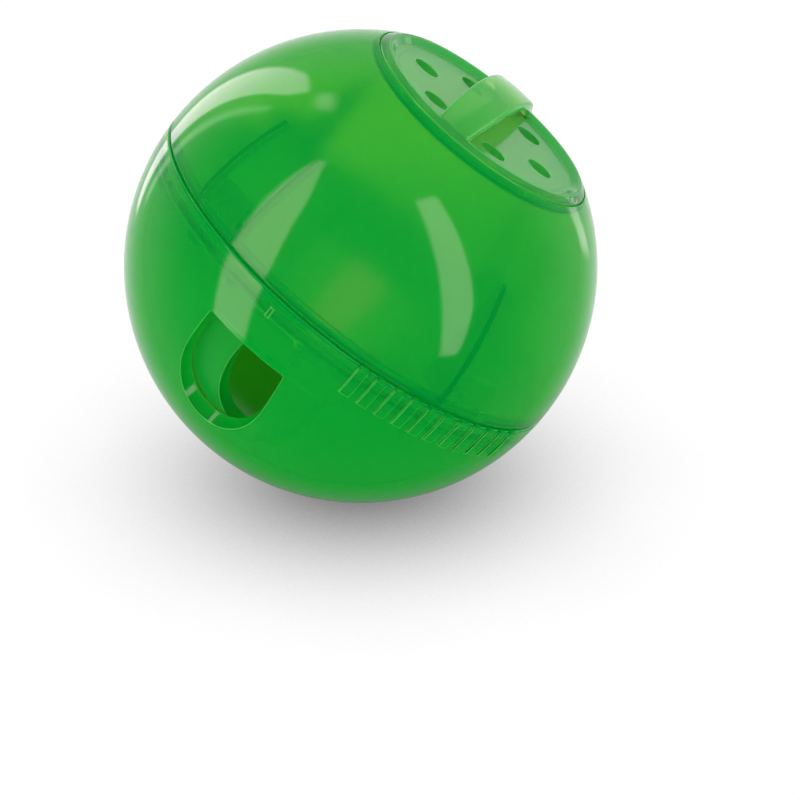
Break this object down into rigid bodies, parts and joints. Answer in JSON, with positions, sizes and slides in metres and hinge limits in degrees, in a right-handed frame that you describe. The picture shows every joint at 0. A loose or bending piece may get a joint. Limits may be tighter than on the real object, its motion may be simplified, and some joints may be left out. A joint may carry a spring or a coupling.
{
  "type": "slow feeder ball",
  "caption": "Hollow snap-together pet treat ball with a turning inner cup that sets the size of its food outlets, and a vented filling plug with a pull strap.",
  "frame": {"origin": "centre of the ball, at the height of the seam between its halves", "axes": "+Z through the filling plug at the top; -Y towards the front, about 10 degrees from the middle of an outlet; +X to the right of the front, along the seam"},
  "size_m": [0.072, 0.072, 0.072],
  "materials": {
    "shell_plastic": "clear green moulded plastic, glossy",
    "cup_plastic": "clear green moulded plastic, glossy",
    "plug_plastic": "clear green moulded plastic, glossy"
  },
  "bodies": {
    "lower_half": {"lower_shell": "shell_plastic"},
    "cup": {"shutter_cup": "cup_plastic"},
    "upper_half": {"upper_shell": "shell_plastic"},
    "plug": {"vent_plug": "plug_plastic"}
  },
  "joints": [
    {"name": "portion_twist", "type": "hinge", "parent": "lower_half", "child": "cup", "pos_m": [0, 0, 0], "axis": [0, 0, 1], "continuous": true},
    {"name": "upper_lift", "type": "slide", "parent": "cup", "child": "upper_half", "axis": [0, 0, 1], "range_m": [0, 0.04]},
    {"name": "plug_pull", "type": "slide", "parent": "upper_half", "child": "plug", "axis": [0, 0, 1], "range_m": [0, 0.02]}
  ]
}
